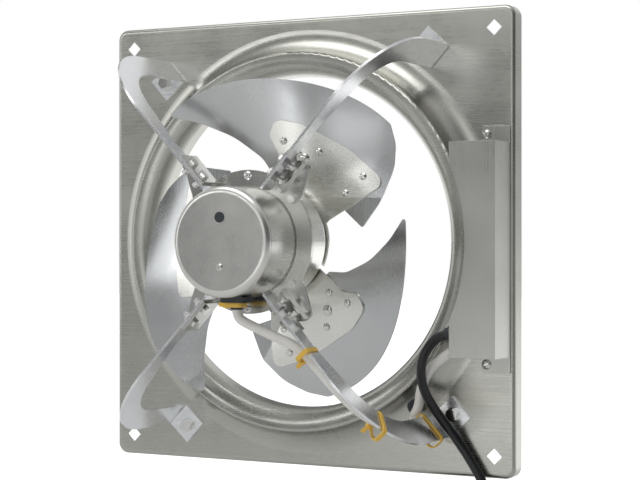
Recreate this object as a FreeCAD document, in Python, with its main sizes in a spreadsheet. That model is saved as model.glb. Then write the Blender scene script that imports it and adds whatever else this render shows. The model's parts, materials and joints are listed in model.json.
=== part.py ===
"""Square panel exhaust fan: a pressed mounting plate with a bell ring, four hook stays that carry
the motor in front of it, a three-blade impeller, a terminal box and a power cord.

Frame: X right, Z up, +Y into the wall (the way the air goes). The origin is the centre of the
mounting holes on the wall plane, and every part in front of the wall has a negative Y.
"""
import FreeCAD, Part
import Sketcher
import math
import os

V = FreeCAD.Vector
doc = FreeCAD.newDocument("exhaust_hood_fan")

# ---------------------------------------------------------------- driving dimensions, millimetres
SIZES = {
    # mounting plate and bell ring
    "plate_side": 406, "plate_depth": 16, "plate_sheet": 1.2, "plate_corner": 10, "plate_bend": 4,
    "hole_pitch": 368, "hole_side": 10,
    "throat_radius": 149.5, "crest_radius": 170, "crest_front": 42, "crest_roll": 17.8,
    "crest_edge": 2.5, "skirt_fillet": 22, "throat_rear": 12, "plate_opening": 193.5,
    "lead_hole": 5, "lead_hole_x": 112.5, "lead_hole_z": -143.5,
    # stays
    "stay_sheet": 2.3, "stay_offset": 9.7, "stay_skew": 2.45, "stay_foot": 197, "stay_back": 222,
    "stay_front": 147.4, "stay_inner_end": 50, "stay_bend": 75, "stay_inner_bend": 47,
    "tab_length": 27, "tab_bolt": 16.5, "foot_hole": 3.3, "stay_hole": 2.8,
    "stay_bolt_near": 65, "stay_bolt_far": 80, "stay_bolt_front": 134.5,
    # motor bracket
    "bracket_inner": 47.5, "bracket_outer": 61.5, "bracket_sheet": 2.2, "bracket_front": 118.8,
    "upstand_depth": 24, "rib_depth": 6.5,
    "lug_tip": 87, "flange_bolt_circle": 56.5, "flange_bolt_angle": 39.8, "flange_hole": 2.3,
    # motor
    "cup_radius": 46.5, "cup_front": 166, "cup_round": 6, "cover_sheet": 1.5, "flange_radius": 61,
    "flange_face": 115, "rear_radius": 50, "rear_back": 66, "shaft_radius": 5,
    "bearing_outer": 13, "bearing_width": 8, "front_bearing": 164.2, "rear_bearing": 75.7,
    "stator_radius": 44.7, "stator_bore": 27.9, "stator_front": 151, "stator_length": 36,
    "rotor_radius": 27.5, "plug_height": 20.5, "screw_height": -21,
    # impeller
    "tip_radius": 142, "blade_sheet": 1.2, "spider_sheet": 1.6, "spider_plane": 61,
    "twist_start": 38, "twist_end": 150, "blade_pitch": 27, "blade_lean": 17, "blade_camber": 11,
    "slab_half": 125, "leading_round": 2.5, "trailing_round": 7, "relief_left": 3.5,
    "hub_radius": 12, "hub_flange": 24, "notch_radius": 49,
    # terminal box
    "box_left": 158, "box_right": 199.6, "box_bottom": -98, "box_top": 85, "box_depth": 38,
    "box_sheet": 1.0, "box_notch": 172, "shelf_left": 174.5, "shelf_width": 20, "shelf_front": 27,
    "box_tab": 14, "box_tab_width": 25, "shelf_sheet": 1.2, "shelf_bottom": -94.5, "shelf_length": 178,
    "box_screw_x": 178, "box_screw_top": 92, "box_screw_low": -105, "box_screw_hole": 2.2,
    # cord
    "cord_diameter": 8.2, "sleeve_diameter": 8.4,
}

sheet = doc.addObject("Spreadsheet::Sheet", "sizes")
for row, (alias, number) in enumerate(SIZES.items(), start=1):
    sheet.set("A%d" % row, alias)
    sheet.set("B%d" % row, str(number))
    sheet.setAlias("B%d" % row, alias)
doc.recompute()


def size(alias):
    return float(sheet.get(alias))


# front faces of the main layers, as distances in front of the wall
PLATE = size("plate_depth")
AXIS_Y = V(0, 1, 0)


def turn(angle):
    """Turn about the fan axis, counter-clockwise as seen from the front."""
    return FreeCAD.Rotation(AXIS_Y, -angle)


def polar(radius, angle):
    """X and Z of a point given by its radius and its angle from +X, counter-clockwise from the front."""
    return radius * math.cos(math.radians(angle)), radius * math.sin(math.radians(angle))


# ---------------------------------------------------------------- outlines
def rounded(corners):
    """Edges of a closed outline; a corner is (x, y) or (x, y, radius)."""
    count = len(corners)
    starts, ends, arcs = [], [], []
    for i, corner in enumerate(corners):
        here = V(corner[0], corner[1], 0)
        radius = corner[2] if len(corner) > 2 else 0
        if not radius:
            starts.append(here)
            ends.append(here)
            arcs.append(None)
            continue
        back = (V(corners[i - 1][0], corners[i - 1][1], 0) - here).normalize()
        ahead = (V(corners[(i + 1) % count][0], corners[(i + 1) % count][1], 0) - here).normalize()
        half = back.getAngle(ahead) / 2
        reach = radius / math.tan(half)
        centre = here + (back + ahead).normalize() * (radius / math.sin(half))
        middle = centre + (here - centre).normalize() * radius
        starts.append(here + back * reach)
        ends.append(here + ahead * reach)
        arcs.append(middle)
    edges = []
    for i in range(count):
        if arcs[i] is not None:
            edges.append(Part.Arc(starts[i], arcs[i], ends[i]))
        following = starts[(i + 1) % count]
        if ends[i].distanceToPoint(following) > 1e-6:
            edges.append(Part.LineSegment(ends[i], following))
    return edges


def box_corners(x0, y0, x1, y1, radius=0):
    return [(x0, y0, radius), (x1, y0, radius), (x1, y1, radius), (x0, y1, radius)]


def origin_plane(body, role):
    return [f for f in body.Origin.OriginFeatures if f.Role == role][0]


def sketch(body, role, lift=None, outlines=(), circles=(), name="Outline"):
    """A sketch on an origin plane, lifted along its normal by an expression.

    A circle is (x, y, expression of its radius).
    """
    drawn = body.newObject("Sketcher::SketchObject", name)
    drawn.AttachmentSupport = [(origin_plane(body, role), "")]
    drawn.MapMode = "FlatFace"
    if lift is not None:
        drawn.setExpression("AttachmentOffset.Base.z", lift)
    for corners in outlines:
        for edge in rounded(corners):
            drawn.addGeometry(edge, False)
    for x, y, radius in circles:
        circle = drawn.addGeometry(Part.Circle(V(x, y, 0), V(0, 0, 1), 1.0), False)
        drawn.addConstraint(Sketcher.Constraint("DistanceX", -1, 1, circle, 3, x))
        drawn.addConstraint(Sketcher.Constraint("DistanceY", -1, 1, circle, 3, y))
        bound = drawn.addConstraint(Sketcher.Constraint("Radius", circle, 1.0))
        drawn.setExpression("Constraints[%d]" % bound, radius)
    return drawn


def new_body(label):
    body = doc.addObject("PartDesign::Body", label)
    body.Label = label
    return body


def pad(body, profile, length, reverse=False):
    """A pad along the sketch's normal: towards the front from XZ_Plane, +Z from XY_Plane."""
    feature = body.newObject("PartDesign::Pad", "Pad")
    feature.Profile = profile
    feature.setExpression("Length", length)
    feature.Reversed = reverse
    profile.Visibility = False
    doc.recompute()
    return feature


def cut_through(body, profile):
    """A pocket through everything, both ways from its sketch."""
    before = body.Shape.Volume
    feature = body.newObject("PartDesign::Pocket", "Pocket")
    feature.Profile = profile
    feature.Type = "ThroughAll"
    feature.Midplane = True
    doc.recompute()
    if body.Shape.Volume >= before - 1e-3:
        raise RuntimeError("pocket cut nothing in " + body.Label)
    return feature


def revolve(body, corners):
    """A turned solid about the fan axis from (radius, y) corners."""
    profile = sketch(body, "XY_Plane", outlines=[corners], name="Section")
    feature = body.newObject("PartDesign::Revolution", "Revolution")
    feature.Profile = profile
    feature.ReferenceAxis = (profile, ["V_Axis"])
    feature.Angle = 360
    doc.recompute()
    return feature


def round_edges(body, radius, chosen):
    """Fillet the edges of the body's tip that pass a test."""
    tip = body.Tip
    names = ["Edge%d" % (i + 1) for i, edge in enumerate(tip.Shape.Edges) if chosen(edge)]
    if not names:
        raise RuntimeError("no edge to round in " + body.Label)
    feature = body.newObject("PartDesign::Fillet", "Fillet")
    feature.Base = (tip, names)
    feature.setExpression("Radius", radius)
    doc.recompute()
    return feature


def turned(label, corners):
    body = new_body(label)
    revolve(body, corners)
    return body


def solid_node(label, shapes):
    """Loose pieces of one kind, kept as separate solids in one node."""
    node = doc.addObject("Part::Feature", label)
    node.Label = label
    node.Shape = shapes[0] if len(shapes) == 1 else Part.makeCompound(shapes)
    return node


def cylinder(radius, length, base, direction):
    return Part.makeCylinder(radius, length, base, direction)


def prism(across, height, base, direction, twist=0):
    """A hexagonal prism, across its flats, standing on base."""
    corner = across / math.sqrt(3)
    points = [V(*polar(corner, 60 * i + twist), 0) for i in range(7)]
    block = Part.Face(Part.makePolygon(points)).extrude(V(0, 0, height))
    block.Placement = FreeCAD.Placement(base, FreeCAD.Rotation(V(0, 0, 1), direction))
    return block


def chamfered_prism(across, height, base, direction, twist=0):
    """A hexagon head: its outer corners are turned off by a cone."""
    block = prism(across, height, base, direction, twist)
    corner = across / math.sqrt(3)
    cone = Part.makeCone(corner + 2 * height, corner - 0.08 * across, 2 * height + 0.08 * across)
    cone.Placement = FreeCAD.Placement(base - direction * height, FreeCAD.Rotation(V(0, 0, 1), direction))
    return block.common(cone)


def pan_head(radius, height, base, direction):
    """A domed screw head with a cross recess."""
    ball = (radius * radius + height * height) / (2 * height)
    dome = Part.makeSphere(ball, base - direction * (ball - height))
    head = dome.common(cylinder(radius, height, base, direction))
    slots = []
    for angle in (0, 90):
        slot = Part.makeBox(radius * 1.1, radius * 0.28, height, V(-radius * 0.55, -radius * 0.14, 0))
        slot.rotate(V(0, 0, 0), V(0, 0, 1), angle + 20)
        slot.Placement = FreeCAD.Placement(base + direction * (height * 0.45),
                                           FreeCAD.Rotation(V(0, 0, 1), direction)).multiply(slot.Placement)
        slots.append(slot)
    return head.cut(slots[0]).cut(slots[1])


FRONT = V(0, -1, 0)
BACK = V(0, 1, 0)

# ---------------------------------------------------------------- mounting plate
half = size("plate_side") / 2


def mounting_plate():
    body = new_body("mounting_plate")
    sheet_t = size("plate_sheet")
    corner = size("plate_corner")
    tray = sketch(body, "XZ_Plane", outlines=[box_corners(-half, -half, half, half, corner)])
    pad(body, tray, "sizes.plate_depth")
    front = -PLATE
    round_edges(body, "sizes.plate_bend",
                lambda e: abs(e.BoundBox.YMin - front) < 1e-4 and abs(e.BoundBox.YMax - front) < 1e-4)
    inner = half - sheet_t
    hollow = sketch(body, "XZ_Plane", name="Hollow",
                    outlines=[box_corners(-inner, -inner, inner, inner, corner - sheet_t)])
    pocket = body.newObject("PartDesign::Pocket", "Hollowing")
    pocket.Profile = hollow
    pocket.setExpression("Length", "sizes.plate_depth - sizes.plate_sheet")
    pocket.Reversed = True
    doc.recompute()
    within = sheet_t - PLATE
    round_edges(body, "sizes.plate_bend - sizes.plate_sheet",
                lambda e: abs(e.BoundBox.YMin - within) < 1e-4 and abs(e.BoundBox.YMax - within) < 1e-4)
    cut_through(body, sketch(body, "XZ_Plane", name="Opening", circles=[(0, 0, "sizes.plate_opening")]))
    pitch = size("hole_pitch") / 2
    reach = size("hole_side") / math.sqrt(2)
    diamonds = []
    for sx in (-1, 1):
        for sz in (-1, 1):
            x, z = sx * pitch, sz * pitch
            diamonds.append([(x - reach, z), (x, z - reach), (x + reach, z), (x, z + reach)])
    cut_through(body, sketch(body, "XZ_Plane", name="MountingHoles", outlines=diamonds))
    # the bell ring: out of the plate, up the skirt, over the crest and back into the throat
    crest = -size("crest_front")
    outer, throat = size("crest_radius"), size("throat_radius")
    fillet, edge, roll = size("skirt_fillet"), size("crest_edge"), size("crest_roll")
    join = size("plate_opening") + 0.5
    rear = -size("throat_rear")
    revolve(body, [
        (join, front), (outer, front, fillet), (outer, crest, edge), (throat, crest, roll),
        (throat, rear), (throat + sheet_t, rear), (throat + sheet_t, crest + sheet_t, roll - sheet_t),
        (outer - sheet_t, crest + sheet_t, edge - sheet_t),
        (outer - sheet_t, front + sheet_t, fillet + sheet_t), (join, front + sheet_t)])
    holes = [(size("lead_hole_x"), size("lead_hole_z"), "sizes.lead_hole")]
    for stay in STAYS.values():
        x, z = stay["bolt"]
        holes.append((x, z, "sizes.foot_hole"))
    holes += [(size("box_screw_x"), size(z), "sizes.box_screw_hole") for z in ("box_screw_top", "box_screw_low")]
    cut_through(body, sketch(body, "XZ_Plane", name="ScrewHoles", circles=holes))
    return body


# ---------------------------------------------------------------- stays
def stay_places():
    """Each stay's wall stands on a line beside a diagonal, skewed so that it closes on the motor."""
    places = {}
    for name, diagonal, side in (("stay_upper_right", 45, 1), ("stay_upper_left", 135, -1),
                                 ("stay_lower_left", 225, 1), ("stay_lower_right", 315, -1)):
        angle = diagonal + side * size("stay_skew")
        x, z = polar(size("stay_offset"), angle + 90 * side)
        place = FreeCAD.Placement(V(x, 0, z), turn(angle))
        bolt = place.multVec(V((size("stay_foot") + size("stay_back")) / 2, 0, size("tab_bolt")))
        places[name] = {"place": place, "side": side, "bolt": (bolt.x, bolt.z)}
    return places


STAYS = stay_places()


def stay(name):
    """A flat hook plate (local X outwards, local Z counter-clockwise) with a bent foot tab."""
    body = new_body(name)
    foot, back, front = size("stay_foot"), size("stay_back"), size("stay_front")
    end, thick = size("stay_inner_end"), size("stay_sheet")
    inner_end, waist, shoulder = front - 22.4, front - 17.3, front - 31.8
    wall = [
        (foot, -PLATE), (back, -PLATE), (back, -front, size("stay_bend")), (end, 4.4 - front, 3),
        (end, -inner_end, 3), (112, -waist, 60), (foot, -shoulder, size("stay_inner_bend"))]
    pad(body, sketch(body, "XY_Plane", outlines=[wall], name="Wall"), "sizes.stay_sheet")
    tab = sketch(body, "XY_Plane", outlines=[box_corners(foot, -PLATE - thick, back, -PLATE)], name="Tab")
    pad(body, tab, "sizes.tab_length")
    round_edges(body, "sizes.stay_sheet * 0.95",
                lambda e: abs(e.BoundBox.ZMax) < 1e-4 and abs(e.BoundBox.YMin + PLATE) < 1e-4
                and abs(e.BoundBox.YMax + PLATE) < 1e-4)
    round_edges(body, "sizes.stay_sheet",
                lambda e: abs(e.BoundBox.ZMin - thick) < 1e-4 and abs(e.BoundBox.ZMax - thick) < 1e-4
                and abs(e.BoundBox.YMin + PLATE + thick) < 1e-4 and abs(e.BoundBox.YMax + PLATE + thick) < 1e-4)
    middle = (foot + back) / 2
    cut_through(body, sketch(body, "XZ_Plane", name="FootHole",
                             circles=[(middle, size("tab_bolt"), "sizes.foot_hole")]))
    level = -size("stay_bolt_front")
    cut_through(body, sketch(body, "XY_Plane", name="BracketHoles",
                             circles=[(size("stay_bolt_near"), level, "sizes.stay_hole"),
                                      (size("stay_bolt_far"), level, "sizes.stay_hole")]))
    body.Placement = STAYS[name]["place"]
    return body


def stay_screws():
    """Foot bolts through the plate, and the bolts and nuts that hold the stays to the bracket."""
    foot_bolts, foot_nuts, bolts, nuts = [], [], [], []
    seat = PLATE + size("stay_sheet")
    inside = PLATE - size("plate_sheet")
    for data in STAYS.values():
        x, z = data["bolt"]
        bolt = chamfered_prism(10, 4, V(x, -seat - 1.2, z), FRONT, 15)
        washer = cylinder(6.2, 1.2, V(x, -seat, z), FRONT)
        foot_bolts.append(bolt.fuse([washer, cylinder(3, seat - inside + 8, V(x, -seat - 0.1, z), BACK)]))
        nut = prism(10, 4.5, V(x, -inside, z), BACK, 15)
        foot_nuts.append(nut.cut(cylinder(3.05, 12, V(x, -inside - 2, z), BACK)))
        place, side = data["place"], data["side"]
        away = place.Rotation.multVec(V(0, 0, side))
        near_face = 0 if side > 0 else size("stay_sheet")
        stack = size("stay_sheet") + size("bracket_sheet") + 0.1
        for reach in (size("stay_bolt_near"), size("stay_bolt_far")):
            start = place.multVec(V(reach, -size("stay_bolt_front"), near_face))
            nuts.append(prism(8, 3.6, start, -away, 25).cut(cylinder(2.55, 9, start + away * 2, -away)))
            far = start + away * stack
            shank = cylinder(2.45, stack + 7.6, far + away * 0.1, -away)
            bolts.append(chamfered_prism(8, 3.2, far, away, 10).fuse(shank))
    return foot_bolts, foot_nuts, bolts, nuts


# ---------------------------------------------------------------- motor bracket
def lug_outline(data):
    """A lug beside one stay, widening towards the motor; the outline is in X and Z."""
    side = data["side"]
    near = size("stay_sheet") / 2 + side * (size("stay_sheet") / 2 + 0.1)
    tip, far = size("lug_tip"), size("bracket_sheet")
    corners = [(52, -26), (61, -25.8, 3), (75, -20, 15), (tip, -13.7, 3), (tip - 0.5, -6, 2), (80, far, 1),
               (52, far)]
    placed = []
    for r, t, *radius in corners:
        point = data["place"].multVec(V(r, 0, near + side * t))
        placed.append((point.x, point.z, *radius))
    return placed


def motor_bracket():
    body = new_body("bracket_blank")
    rear = "sizes.bracket_front - sizes.bracket_sheet"
    ring = sketch(body, "XZ_Plane", rear, name="Ring",
                  circles=[(0, 0, "sizes.bracket_outer"), (0, 0, "sizes.bracket_inner")])
    pad(body, ring, "sizes.bracket_sheet")
    for data in STAYS.values():
        pad(body, sketch(body, "XZ_Plane", rear, outlines=[lug_outline(data)], name="Lug"),
            "sizes.bracket_sheet")
        side = data["side"]
        near = size("stay_sheet") / 2 + side * (size("stay_sheet") / 2 + 0.1)
        upstand, rib = [], []
        for r, t in ((58, 0), (90, 0), (90, 1), (58, 1)):
            point = data["place"].multVec(V(r, 0, near + side * t * size("bracket_sheet")))
            upstand.append((point.x, point.z))
        pad(body, sketch(body, "XZ_Plane", rear, outlines=[upstand], name="Upstand"), "sizes.upstand_depth")
        for r, t in ((53, 7.4), (86, 6.4), (86, 8.2), (53, 9.2)):
            point = data["place"].multVec(V(r, 0, near - side * t))
            rib.append((point.x, point.z))
        pad(body, sketch(body, "XZ_Plane", rear, outlines=[rib], name="Rib"), "sizes.rib_depth")
    holes = [(*polar(size("flange_bolt_circle"), a), "sizes.flange_hole") for a in flange_angles()]
    holes += [(0, s * size("flange_bolt_circle"), "sizes.flange_hole") for s in (-1, 1)]
    cut_through(body, sketch(body, "XZ_Plane", circles=holes, name="FlangeHoles"))
    tools = []
    for data in STAYS.values():
        for reach in (size("stay_bolt_near"), size("stay_bolt_far")):
            start = data["place"].multVec(V(reach, -size("stay_bolt_front"), -8))
            tools.append(cylinder(size("stay_hole"), 16, start, data["place"].Rotation.multVec(V(0, 0, 1))))
    drill = solid_node("bracket_drill", tools)
    node = doc.addObject("Part::Cut", "motor_bracket")
    node.Base, node.Tool = body, drill
    node.Label = "motor_bracket"
    doc.recompute()
    return node


def flange_angles():
    angle = size("flange_bolt_angle")
    return (angle, 180 - angle, 180 + angle, -angle)


def flange_screws():
    """Hex bolts and nuts beside the lugs, and two cross-head screws at top and bottom."""
    bolts, nuts, screws = [], [], []
    face = size("bracket_front")
    rear = size("flange_face") - size("cover_sheet")
    for angle in flange_angles():
        x, z = polar(size("flange_bolt_circle"), angle)
        shank = cylinder(2, face - rear + 6, V(x, -face - 0.1, z), BACK)
        bolts.append(chamfered_prism(7, 3, V(x, -face, z), FRONT, 20).fuse(shank))
        nut = prism(7, 3, V(x, -rear, z), BACK, 20)
        nuts.append(nut.cut(cylinder(2.1, 9, V(x, -rear - 2, z), BACK)))
    for side in (-1, 1):
        x, z = 0, side * size("flange_bolt_circle")
        head = pan_head(4, 2.4, V(x, -face, z), FRONT)
        screws.append(head.fuse(cylinder(2, face - rear + 4, V(x, -face - 0.1, z), BACK)))
    return bolts, nuts, screws


# ---------------------------------------------------------------- motor
def motor_front_cover():
    face, wall = -size("cup_front"), size("cover_sheet")
    cup, flange = size("cup_radius"), -size("flange_face")
    boss, boss_rear = size("bearing_outer"), 1.8 - size("front_bearing") + size("bearing_width")
    body = turned("motor_front_cover", [
        (0, face), (cup, face, size("cup_round")), (cup, flange - wall), (size("flange_radius"), flange - wall),
        (size("flange_radius"), flange), (cup - wall, flange), (cup - wall, face + wall, size("cup_round") - wall),
        (boss + 2, face + wall), (boss + 2, boss_rear), (boss, boss_rear), (boss, face + wall), (0, face + wall)])
    holes = [(0, size("plug_height"), "4"), (0, size("screw_height"), "1.9")]
    holes += [(*polar(size("flange_bolt_circle"), a), "sizes.flange_hole") for a in flange_angles()]
    holes += [(0, s * size("flange_bolt_circle"), "sizes.flange_hole") for s in (-1, 1)]
    cut_through(body, sketch(body, "XZ_Plane", circles=holes, name="Holes"))
    slot = sketch(body, "XY_Plane", "-sizes.cup_radius - 4", name="LeadSlot",
                  outlines=[box_corners(-7, -143, 7, -131, 2)])
    pocket = body.newObject("PartDesign::Pocket", "LeadSlotCut")
    pocket.Profile = slot
    pocket.Length = 10
    pocket.Reversed = True
    doc.recompute()
    return body


def motor_rear_cover():
    back, wall = -size("rear_back"), size("cover_sheet")
    radius, flange = size("rear_radius"), -size("flange_face")
    boss, boss_front = size("bearing_outer"), -size("rear_bearing") - 1
    opening = size("shaft_radius") + 3
    body = turned("motor_rear_cover", [
        (size("flange_radius"), flange), (size("flange_radius"), flange + wall), (radius, flange + wall, 2),
        (radius, back, 7), (opening, back), (opening, back - wall), (boss, back - wall), (boss, boss_front),
        (boss + 2, boss_front), (boss + 2, back - wall), (radius - wall, back - wall, 5.5),
        (radius - wall, flange)])
    holes = [(*polar(size("flange_bolt_circle"), a), "sizes.flange_hole") for a in flange_angles()]
    holes += [(0, s * size("flange_bolt_circle"), "sizes.flange_hole") for s in (-1, 1)]
    cut_through(body, sketch(body, "XZ_Plane", circles=holes, name="Holes"))
    return body


def stator_core():
    """Laminated ring with twelve teeth, its slots open to the bore."""
    body = new_body("stator_core")
    rear = "sizes.stator_front - sizes.stator_length"
    ring = sketch(body, "XZ_Plane", rear, name="Ring",
                  circles=[(0, 0, "sizes.stator_radius"), (0, 0, "sizes.stator_bore")])
    pad(body, ring, "sizes.stator_length")
    slots = []
    for i in range(12):
        slot = []
        for r, t in ((26, -1), (30, -1), (31, -4.2), (38, -5), (38, 5), (31, 4.2), (30, 1), (26, 1)):
            x, z = polar(r, 30 * i + 15)
            dx, dz = polar(t, 30 * i + 105)
            slot.append((x + dx, z + dz))
        slots.append(slot)
    cut_through(body, sketch(body, "XZ_Plane", outlines=slots, name="Slots"))
    return body


def ring(outer, inner, front, length):
    """A plain ring about the fan axis whose front face is that far before the wall."""
    return cylinder(outer, length, V(0, -front, 0), BACK).cut(
        cylinder(inner, length + 2, V(0, -front - 1, 0), BACK))


def grooved(ring_shape, pitch, groove, middle):
    return ring_shape.cut(Part.makeTorus(pitch, groove, V(0, middle, 0), AXIS_Y))


def bearing(name, front):
    """A deep-groove ball bearing: outer ring, inner ring and eight balls."""
    bore, outer, width = size("shaft_radius"), size("bearing_outer"), size("bearing_width")
    middle = width / 2 - front
    pitch = (bore + outer) / 2
    solid_node(name + "_outer_ring", [grooved(ring(outer - 0.02, 10.9, front, width), pitch, 2.5, middle)])
    solid_node(name + "_inner_ring", [grooved(ring(7.2, bore + 0.01, front, width), pitch, 2.5, middle)])
    balls = []
    for i in range(8):
        x, z = polar(pitch, 45 * i)
        balls.append(Part.makeSphere(2.35, V(x, middle, z)))
    solid_node(name + "_balls", balls)


def motor_inside():
    """Windings, rotor, shaft, the two bearings and the wave washer."""
    front, length = size("stator_front"), size("stator_length")
    windings = []
    for end in (ring(40, 29.5, front + 6, 5.9), ring(40, 29.5, front - length - 0.1, 9)):
        rims = [e for e in end.Edges if e.Curve.TypeId == "Part::GeomCircle"]
        windings.append(end.makeFillet(2.2, rims))
    solid_node("stator_windings", windings)
    rotor = ring(size("rotor_radius"), size("shaft_radius") + 0.02, front, length)
    for start in (front + 3, front - length):
        rotor = rotor.fuse(ring(26, 18, start, 3))
    solid_node("rotor_core", [rotor])
    shaft = cylinder(size("shaft_radius"), 115, V(0, -163, 0), BACK)
    thread = cylinder(size("shaft_radius") - 1, 8, V(0, -48, 0), BACK)
    solid_node("motor_shaft", [shaft.fuse(thread)])
    bearing("front_bearing", size("front_bearing"))
    bearing("rear_bearing", size("rear_bearing"))
    washer_front = size("front_bearing") - size("bearing_width") - 0.1
    solid_node("wave_washer", [ring(12.8, 11, washer_front, 0.6)])


def motor_trim():
    """The cover's screw and rubber plug, and the rubber boot where the leads come out below."""
    face, wall = size("cup_front"), size("cover_sheet")
    z = size("screw_height")
    screw = pan_head(3.2, 1.8, V(0, -face, z), FRONT).fuse(cylinder(1.8, wall + 5, V(0, -face - 0.1, z), BACK))
    solid_node("cover_screw", [screw])
    z = size("plug_height")
    plug = cylinder(4.5, 0.9, V(0, -face, z), FRONT).fuse(cylinder(3.95, wall + 1.5, V(0, -face - 0.1, z), BACK))
    rim = [e for e in plug.Edges if abs(e.BoundBox.YMin + face + 0.9) < 1e-4 and e.BoundBox.YLength < 1e-4]
    solid_node("cover_plug", [plug.makeFillet(0.5, rim)])
    low = size("cup_radius")
    boot = Part.makeBox(22, 18, 5, V(-11, -146, -low - 4.5))
    boot = boot.cut(cylinder(low + 0.05, 40, V(0, -155, 0), BACK))
    boot = boot.fuse(Part.makeCone(5.2, 6.5, 7, V(0, -137, -low - 10.5)))
    solid_node("lead_boot", [boot.fuse(Part.makeBox(13.4, 11.4, 2.5, V(-6.7, -142.7, -low - 1)))])


# ---------------------------------------------------------------- impeller
def blade_surface(x, z):
    """Y of the blades' front face for the upper blade: flat near the hub, then twisted and arched."""
    start, end = size("twist_start"), size("twist_end")
    share = max(0.0, (z - start) / (end - start))
    span = size("slab_half")
    tip = x * math.tan(math.radians(size("blade_pitch"))) - size("blade_lean")
    tip -= size("blade_camber") * (1 - (x / span) ** 2)
    return -size("spider_plane") + share * tip


def slab(offset, thick):
    """The twisted and the flat sheet that a blade or an arm is cut from, offset towards the back."""
    span, start, end = size("slab_half"), size("twist_start"), size("twist_end")
    wires = []
    for z in (start, end):
        front = [V(x, blade_surface(x, z) + offset, z) for x in (-span, 0, span)]
        rear = [p + V(0, thick, 0) for p in front]
        if z == start:
            edges = [Part.LineSegment(front[0], front[2]), Part.LineSegment(front[2], rear[2]),
                     Part.LineSegment(rear[2], rear[0]), Part.LineSegment(rear[0], front[0])]
        else:
            edges = [Part.Arc(*front), Part.LineSegment(front[2], rear[2]),
                     Part.Arc(rear[2], rear[1], rear[0]), Part.LineSegment(rear[0], front[0])]
        wires.append(Part.Wire([e.toShape() for e in edges]))
    twisted = Part.makeLoft(wires, True, True)
    level = offset - size("spider_plane")
    flat = Part.makeBox(2 * span, thick, 100 + start, V(-span, level, -100))
    return twisted, flat


def spun(shape, angle):
    """A copy turned about the fan axis."""
    copy = shape.copy()
    copy.rotate(V(0, 0, 0), AXIS_Y, -angle)
    return copy


def outline_prism(corners):
    wire = Part.Wire([e.toShape() for e in rounded(corners)])
    face = Part.Face(wire)
    face.rotate(V(0, 0, 0), V(1, 0, 0), 90)
    return face.extrude(V(0, -200, 0))


BLADE = [
    (-3, 57), (-12, 73.5, 25), (-35, 92.5, 60), (-62, 104.5, 60), (-82, 109.2, 60), (-100, 111.5),
    (-110, 180), (97, 180), (99, 102), (105.5, 84, 30), (107, 62, 40), (99, 36, 40), (80.5, 12, 2),
    (62, 28.5), (33, 44)]
SPIDER_ARM = [
    (-3, 20), (1, 62, 25), (4, 78, 10), (-3, 93, 8), (4, 107, 8), (27, 102.5, 30), (45, 92, 60),
    (71, 77, 60), (101.5, 50.5, 7), (70, 30.5, 60), (48, 18, 10), (40, 4)]
BLADE_RIVETS = ((89, 84, 3.2), (88, 63, 3.2), (98, 35, 3.2), (77, 33, 3.2), (77.5, 70, 4.6), (68, 80, 3.2))


def blade(name, angle):
    tip = size("tip_radius")
    plan = outline_prism(BLADE).common(cylinder(tip, 300, V(0, -260, 0), BACK))
    for side, radius in ((-1, size("leading_round")), (1, size("trailing_round"))):
        corner = [e for e in plan.Edges if e.BoundBox.YLength > 100 and side * e.BoundBox.XMin > 0
                  and abs(math.hypot(e.BoundBox.XMin, e.BoundBox.ZMin) - tip) < 0.01]
        plan = plan.makeFillet(radius, corner)
    twisted, flat = slab(0, size("blade_sheet"))
    solid_node(name, [spun(twisted.fuse(flat).common(plan), angle)])


def spider():
    thick = size("spider_sheet")
    twisted, flat = (part.common(outline_prism(SPIDER_ARM)) for part in slab(-thick - 0.05, thick))
    front = size("spider_plane") + thick + 0.05
    disc = cylinder(size("notch_radius"), thick, V(0, -front, 0), BACK)
    start = size("twist_start")
    relief = Part.makeBox(60, 20, 30, V(-size("relief_left"), -front - 5, start))
    for angle in (0, 120, 240):
        disc = disc.cut(spun(relief, angle))
    for angle in (0, 120, 240):
        disc = disc.fuse(spun(flat, angle))
    disc = disc.removeSplitter()
    for angle in (0, 120, 240):
        disc = disc.fuse(spun(twisted, angle))
    disc = disc.cut(cylinder(size("shaft_radius") + 0.02, 20, V(0, -front - 5, 0), BACK))
    solid_node("impeller_spider", [disc])


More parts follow.
